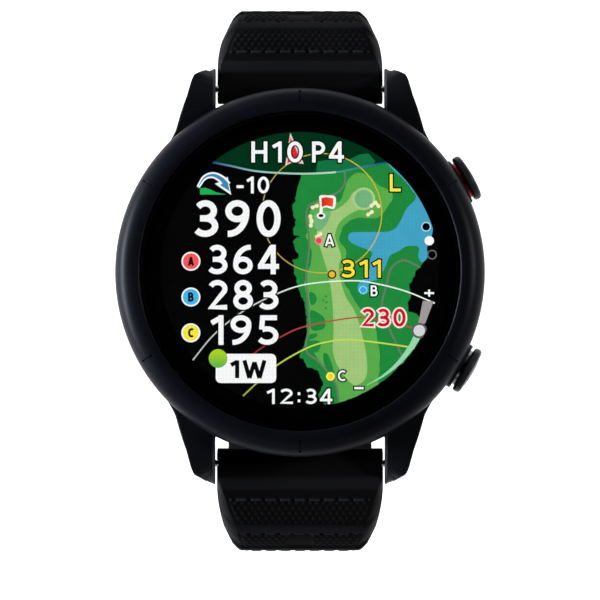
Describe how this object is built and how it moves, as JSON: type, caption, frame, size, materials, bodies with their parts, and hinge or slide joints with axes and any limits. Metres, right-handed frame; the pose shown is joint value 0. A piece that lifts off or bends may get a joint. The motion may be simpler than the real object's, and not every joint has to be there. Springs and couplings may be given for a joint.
{
  "type": "golf gps watch",
  "caption": "Round digital golf watch with a map display, side push buttons, lugs and a buckled rubber strap with quick-release bars, shown unbuckled.",
  "frame": {"origin": "centre of the flat face of the case back, which lies against the wrist", "axes": "+Z out of the dial, +Y towards 12 o'clock and the buckle half of the strap, +X towards 3 o'clock and the buttons"},
  "size_m": [0.0476, 0.0718, 0.0926],
  "materials": {
    "bezel": "matt blasted, blue-black",
    "cover_glass": "polished",
    "seal": "matt",
    "display": "glossy",
    "flex": "satin",
    "steel": "satin",
    "alloy": "satin",
    "case": "matt",
    "board": "satin",
    "chips": "matt",
    "battery_foil": "satin foil",
    "wire": "satin",
    "gold": "gold plated",
    "switch": "satin",
    "button_metal": "satin, dark",
    "red_ring": "anodised red",
    "grey_ring": "dark polished",
    "plunger": "matt",
    "strap_rubber": "matt, textured",
    "buckle_metal": "satin, dark"
  },
  "bodies": {
    "case": {"bezel": "bezel", "cover_glass": "cover_glass", "glass_adhesive": "seal", "display_panel": "display", "display_flex": "flex", "mid_frame": "alloy", "mid_case": "case", "main_board": "board", "board_shield": "steel", "board_chips": "chips", "board_screws": "steel", "battery": "battery_foil", "battery_lead": "wire", "gps_antenna": "gold", "vibration_motor": "steel", "back_gasket": "seal", "back_cover": "case", "back_screws": "steel", "charging_contacts": "gold", "charging_flex": "flex", "switch_bracket": "steel", "side_flex": "flex", "upper_switch": "switch", "lower_switch": "switch", "upper_button_sleeve": "steel", "lower_button_sleeve": "steel"},
    "upper_button": {"upper_button_cap": "button_metal", "upper_button_ring": "red_ring", "upper_button_seals": "seal", "upper_button_clip": "steel", "upper_button_plunger": "plunger", "upper_button_spring": "steel"},
    "lower_button": {"lower_button_cap": "button_metal", "lower_button_ring": "grey_ring", "lower_button_seals": "seal", "lower_button_clip": "steel", "lower_button_plunger": "plunger", "lower_button_spring": "steel"},
    "upper_band": {"upper_strap": "strap_rubber", "upper_bar_tube": "steel", "upper_bar_fixed_tip": "steel", "upper_bar_spring": "steel", "fixed_keeper": "strap_rubber"},
    "lower_band": {"lower_strap": "strap_rubber", "lower_bar_tube": "steel", "lower_bar_fixed_tip": "steel", "lower_bar_spring": "steel"},
    "upper_release": {"upper_bar_release": "steel"},
    "lower_release": {"lower_bar_release": "steel"},
    "loop": {"sliding_keeper": "strap_rubber"},
    "buckle": {"buckle_frame": "buckle_metal", "buckle_bar_tube": "steel", "buckle_bar_tips": "steel", "buckle_bar_spring": "steel"},
    "tongue": {"buckle_tongue": "steel"}
  },
  "joints": [
    {"name": "upper_strap_hinge", "type": "hinge", "parent": "case", "child": "upper_band", "pos_m": [0, 0.0244, 0.003], "axis": [1, 0, 0], "range_deg": [-2, 80]},
    {"name": "lower_strap_hinge", "type": "hinge", "parent": "case", "child": "lower_band", "pos_m": [0, -0.0244, 0.003], "axis": [-1, 0, 0], "range_deg": [-2, 80]},
    {"name": "upper_button_press", "type": "slide", "parent": "case", "child": "upper_button", "axis": [-0.866, -0.5, 0], "range_m": [0, 0.0003], "stiffness_N_per_m": 3000, "springref_m": -0.0002, "deforming": ["upper_button_spring"]},
    {"name": "lower_button_press", "type": "slide", "parent": "case", "child": "lower_button", "axis": [-0.866, 0.5, 0], "range_m": [0, 0.0003], "stiffness_N_per_m": 3000, "springref_m": -0.0002, "deforming": ["lower_button_spring"]},
    {"name": "upper_release_slide", "type": "slide", "parent": "upper_band", "child": "upper_release", "axis": [-1, 0, 0], "range_m": [0, 0.0011], "stiffness_N_per_m": 600, "springref_m": -0.0008, "deforming": ["upper_bar_spring"]},
    {"name": "lower_release_slide", "type": "slide", "parent": "lower_band", "child": "lower_release", "axis": [-1, 0, 0], "range_m": [0, 0.0011], "stiffness_N_per_m": 600, "springref_m": -0.0008, "deforming": ["lower_bar_spring"]},
    {"name": "keeper_slide", "type": "hinge", "parent": "upper_band", "child": "loop", "pos_m": [0, -0.00575, -0.0056], "axis": [1, 0, 0], "range_deg": [-7, 24]},
    {"name": "buckle_hinge", "type": "hinge", "parent": "upper_band", "child": "buckle", "pos_m": [0, -0.00777, -0.04415], "axis": [1, 0, 0], "range_deg": [-40, 25]},
    {"name": "tongue_hinge", "type": "hinge", "parent": "buckle", "child": "tongue", "pos_m": [0, -0.00777, -0.04415], "axis": [1, 0, 0], "range_deg": [0, 110]}
  ]
}
